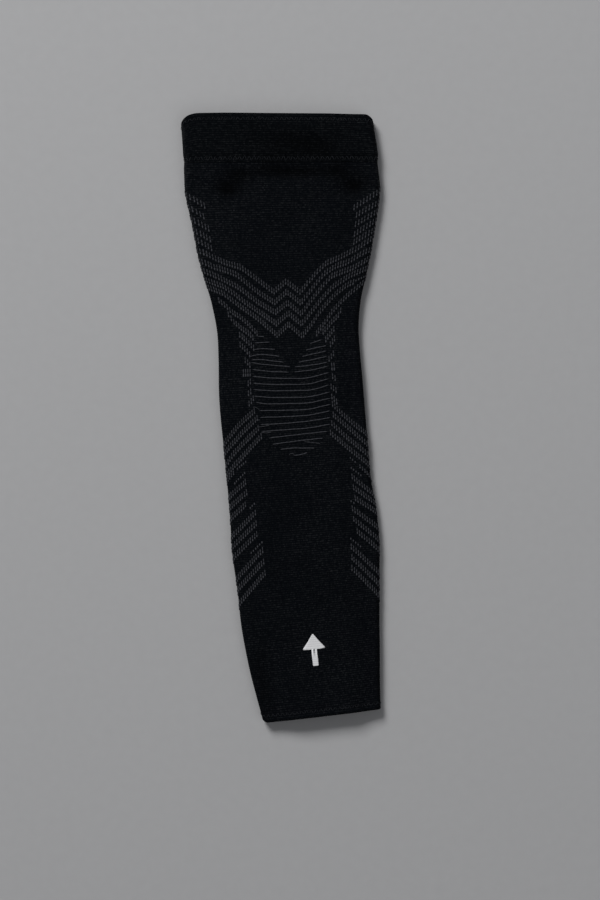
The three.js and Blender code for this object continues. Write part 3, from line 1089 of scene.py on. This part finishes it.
# A dash: light of its loops and of the upper one beside it, reach of the pinch, blur between the two
LOOP_LIGHT = 0.62
UPPER_LOOP = 0.60
PINCH_RANGE = (0.04, 0.15)
LOOP_BLUR = 0.05


class Value:
    """What a node of a material gives, so that sums on it can be written as sums."""

    def __init__(self, tree, socket):
        self.tree = tree
        self.socket = socket

    def calc(self, operation, other=0.0):
        """Result of an operation on this value and another one."""
        return result(self.tree, "ShaderNodeMath", {0: self, 1: other}, operation=operation)

    def __add__(self, other):
        return self.calc("ADD", other)

    def __sub__(self, other):
        return self.calc("SUBTRACT", other)

    def __mul__(self, other):
        return self.calc("MULTIPLY", other)

    def wave(self):
        """Cosine of this number of turns."""
        return (self * (2 * math.pi)).calc("COSINE")

    def spread(self, low, high):
        """The value's stretch from low to high, spread over 0 to 1."""
        return result(self.tree, "ShaderNodeMapRange", {"Value": self, "From Min": low, "From Max": high})


def fill(socket, value):
    """Links a value to a socket, or sets the socket to a plain number or colour."""
    if isinstance(value, Value):
        value.tree.links.new(value.socket, socket)
    else:
        socket.default_value = value


def add(tree, kind, inputs=(), **settings):
    """A new node with its settings and inputs."""
    node = tree.nodes.new(kind)
    for name, value in settings.items():
        setattr(node, name, value)
    for name, value in dict(inputs).items():
        fill(node.inputs[name], value)
    return node


def result(tree, kind, inputs=(), **settings):
    """What a new node gives first."""
    return Value(tree, add(tree, kind, inputs, **settings).outputs[0])


def noise(vector, scale, detail=2.0, roughness=0.5):
    """Seedless noise from 0 to 1 at a vector."""
    inputs = {"Vector": vector, "Scale": scale, "Detail": detail, "Roughness": roughness}
    return result(vector.tree, "ShaderNodeTexNoise", inputs)


def combine(x, y):
    """Vector of two values."""
    return result(x.tree, "ShaderNodeCombineXYZ", {"X": x, "Y": y})


def split(vector):
    """The first two numbers of a vector."""
    outputs = add(vector.tree, "ShaderNodeSeparateXYZ", {0: vector}).outputs
    return Value(vector.tree, outputs[0]), Value(vector.tree, outputs[1])


def corner_values(tree, name):
    """The two numbers that a piece holds at its faces' corners under a name."""
    return split(result(tree, "ShaderNodeUVMap", uv_map=name))


def blend(share, first, second):
    """Colour between two colours."""
    mix = add(share.tree, "ShaderNodeMix", data_type="RGBA")
    sockets = {socket.identifier: socket for socket in (*mix.inputs, *mix.outputs)}
    fill(sockets["Factor_Float"], share)
    fill(sockets["A_Color"], first)
    fill(sockets["B_Color"], second)
    return Value(share.tree, sockets["Result_Color"])


def new_material(name, roughness, specular):
    """A material without its colour and bump, its shader, and the coordinates of the piece."""
    material = bpy.data.materials.new(name)
    material.use_nodes = True
    tree = material.node_tree
    shader = tree.nodes["Principled BSDF"]
    shader.inputs["Roughness"].default_value = roughness
    shader.inputs["Specular IOR Level"].default_value = specular
    return material, shader, Value(tree, add(tree, "ShaderNodeTexCoord").outputs["Object"])


def finish_shader(shader, colour, height, depth):
    """Links a colour and a bump of a depth in millimetres to the shader."""
    inputs = {"Height": height, "Distance": depth * MM, "Strength": 1.0}
    fill(shader.inputs["Base Color"], colour)
    fill(shader.inputs["Normal"], result(colour.tree, "ShaderNodeBump", inputs))


def stitch_tones(wale, course):
    """Brightness of each single stitch, from 0 to 1."""
    cell = combine((wale * STITCHES).calc("FLOOR"), (course + 0.5).calc("FLOOR"))
    return result(wale.tree, "ShaderNodeTexWhiteNoise", {"Vector": cell}, noise_dimensions="2D")


def painted_fold_highlight(wale):
    """1 along the side folds, where a painted highlight lightens the knit."""
    return wale.calc("ABSOLUTE").calc("PINGPONG", HALF_WALES).spread(*FOLD_RANGE)


def knit_tone(wale, course, place):
    """Lightness of the knit's colour: courses that show as broken lines, single stitches, flecks, and a
    painted highlight along the side folds.
    """
    waver = noise(combine(wale * WAVER_TURNS, course), 1.0) * COURSE_WAVER
    line = ((course + waver).wave() + COURSE_BASE) * COURSE_SHARE
    run = combine(wale * STREAK_TURNS[0], course * STREAK_TURNS[1])
    streaks = noise(run, 1.0, 3.0, 0.6).spread(*STREAK_RANGE)
    cloth = noise(place, CLOTH_SCALE, 3.0, 0.6).spread(*CLOTH_RANGE)
    single = stitch_tones(wale, course).calc("POWER", STITCH_CONTRAST) * STITCH_SHARE + STITCH_BASE
    fleck = noise(place, FLECK_SCALE, 1.0).spread(*FLECK_RANGE) * FLECK_SHARE
    # Painted highlight along the side folds, as if their yarn caught the light.
    fold = painted_fold_highlight(wale) * FOLD_PAINTED_HIGHLIGHT * (single + FOLD_BASE)
    return line * (streaks * cloth) * single + fleck + fold


def painted_crease_shade(tree):
    """Share of the knit's colour kept where it is creased: painted shade, darkest in the deepest creases."""
    depth, _ = corner_values(tree, "hollow")
    inputs = {"Value": depth, "From Max": DARKEST_DEPTH, "To Min": 1.0, "To Max": PAINTED_CREASE_LIGHT}
    return result(tree, "ShaderNodeMapRange", inputs)


def knit_material(name, dark, light):
    """Fine knit of near-black yarn."""
    material, shader, place = new_material(name, roughness=0.8, specular=0.02)
    wale, course = corner_values(place.tree, "knit")
    columns = wale * STITCHES
    stitch = (course * STITCHES + columns.calc("PINGPONG", 0.5)).wave()
    fuzz = noise(place, FUZZ_SCALE, 2.0, 0.7)
    height = stitch * STITCH_BUMP + columns.wave() * COLUMN_BUMP + fuzz * FUZZ_BUMP
    colour = blend(knit_tone(wale, course, place), dark, light)
    # The colour is blended towards black by the depth of the creases: painted shade.
    finish_shader(shader, blend(painted_crease_shade(place.tree), PAINTED_SHADE_BLACK, colour), height, depth=0.16)
    return material


def loop_light(tree):
    """Light of a dash's two loops, the lower one most."""
    _, along = corner_values(tree, "knit")
    is_lower = along.spread(PINCH + LOOP_BLUR, PINCH - LOOP_BLUR)
    share = is_lower * (1 - UPPER_LOOP) + UPPER_LOOP
    return (along - PINCH).calc("ABSOLUTE").spread(*PINCH_RANGE) * share


def yarn_material(name, dark, light, has_loops=False):
    """Grey yarn with fibres along it."""
    material, shader, place = new_material(name, roughness=0.8, specular=0.06)
    fibres = noise(place, FIBRE_SCALE, 2.0, 0.7)
    tone = noise(place, TONE_SCALE) * TONE_SHARE + fibres * FIBRE_SHARE
    if has_loops:
        tone = tone * PLAIN_SHARE + loop_light(place.tree) * LOOP_LIGHT
    finish_shader(shader, blend(tone, dark, light), fibres, depth=0.08)
    return material


def film_material():
    """White printed film with the knit's courses showing through."""
    material, shader, place = new_material("white_film", roughness=0.55, specular=0.3)
    _, along = split(place)
    line = (along * (2 * math.pi / (COURSE * MM))).calc("COSINE")
    grain = noise(place, FILM_SCALE, 3.0, 0.6)
    colour = blend(line * FILM_LINES + grain, *FILM_TONES)
    finish_shader(shader, colour, line * FILM_BUMP + grain, depth=0.05)
    return material


def floor_material():
    """Plain pale surface with hardly any texture."""
    material, shader, place = new_material("pale_floor", roughness=0.9, specular=0.1)
    grain = noise(place, FLOOR_SCALE, 3.0)
    finish_shader(shader, blend(grain, *FLOOR_TONES), grain, depth=0.05)
    return material


# Floor, lights and camera

# In metres: the floor's half width, what the camera looks at, and the height of the view there. Then
# the camera's turn, and its lens and sensor in millimetres
FLOOR_REACH = 6.0
VIEW_CENTRE = Vector((-0.0010, -0.0242, 0.0045))
VIEW_HEIGHT = 0.5965
VIEW_TURN = math.radians(-4.0)
LENS = 100.0
SENSOR = 36.0

# Columns: name, place and size in metres, power in watts
LIGHTS = [
    ("key", (-1.3, 2.6, 2.2), 1.3, 100.0),
    ("fill", (1.6, -1.6, 2.4), 2.0, 9.0),
]
SKY = (0.93, 0.95, 1.0, 1)
SKY_STRENGTH = 0.13


def set_stage():
    """Pale floor with a far edge that no view reaches."""
    mesh = bpy.data.meshes.new("floor")
    corners = [(x * FLOOR_REACH, y * FLOOR_REACH, 0) for x, y in ((-1, -1), (1, -1), (1, 1), (-1, 1))]
    mesh.from_pydata(corners, [], [(0, 1, 2, 3)])
    mesh.materials.append(floor_material())
    new_object("floor", mesh)


def add_light(name, place, size, power):
    """A square soft light that points at the sleeve."""
    data = bpy.data.lights.new(name, "AREA")
    data.shape = "SQUARE"
    data.size = size
    data.energy = power
    light = new_object(name, data)
    light.location = place
    light.rotation_euler = (-Vector(place)).to_track_quat("-Z", "Y").to_euler()


def set_lights():
    """Soft studio light from above, mostly from past the cuff, under a pale sky."""
    for light in LIGHTS:
        add_light(*light)
    world = bpy.data.worlds.new("studio")
    world.use_nodes = True
    background = world.node_tree.nodes["Background"]
    background.inputs["Color"].default_value = SKY
    background.inputs["Strength"].default_value = SKY_STRENGTH
    bpy.context.scene.world = world
    bpy.context.scene.view_settings.view_transform = "Standard"


def set_camera():
    """Camera straight above, turned so that the sleeve leans as in the photograph."""
    data = bpy.data.cameras.new("camera")
    data.lens = LENS
    data.sensor_width = SENSOR
    camera = new_object("camera", data)
    camera.location = VIEW_CENTRE + Vector((0, 0, VIEW_HEIGHT * LENS / SENSOR))
    camera.rotation_euler = (0, 0, VIEW_TURN)
    bpy.context.scene.camera = camera


SEED = 21


def main():
    """Makes every piece in a fixed order, so that the seeded variation is the same each run."""
    rng = np.random.default_rng(SEED)
    knit = knit_material("near_black_knit", *KNIT_TONES)
    band = knit_material("cuff_knit", *BAND_TONES)
    dash_yarn = yarn_material("grey_yarn", *DASH_TONES, has_loops=True)
    rib_yarn = yarn_material("rib_yarn", *RIB_TONES)
    thread = yarn_material("stitch_thread", *THREAD_TONES)
    knit_tube(knit)
    cuff_band(band)
    hem_band(band)
    front = chart_dashes()
    is_dot = front[:, 2] == DOT
    dash_piece("front_dashes", front[~is_dot], DASH_PROFILE, DASH_LIT, dash_yarn, rng)
    dash_piece("front_dots", front[is_dot], DOT_PROFILE, DOT_LIT, dash_yarn, rng)
    back = back_dashes(front[~is_dot])
    dash_piece("back_dashes", back, DASH_PROFILE, DASH_LIT, dash_yarn, rng)
    rib_piece("elbow_ribs", RIB_LINES, RIB_SMOOTHING, RIB_WIDTH, rib_yarn, rng)
    rib_piece("stray_yarns", STRAY_LINES, STRAY_SMOOTHING, RIB_WIDTH * STRAY_SHARE, rib_yarn, rng)
    stitch_piece("cuff_top_stitches", CUFF_TOP_ROW, cuff_out, thread, rng)
    stitch_piece("cuff_low_stitches", CUFF_LOW_ROW, cuff_out, thread, rng)
    stitch_piece("hem_stitches", HEM_ROW, np.zeros_like, thread, rng)
    arrow_mark(film_material())
    set_stage()
    set_lights()
    set_camera()


main()
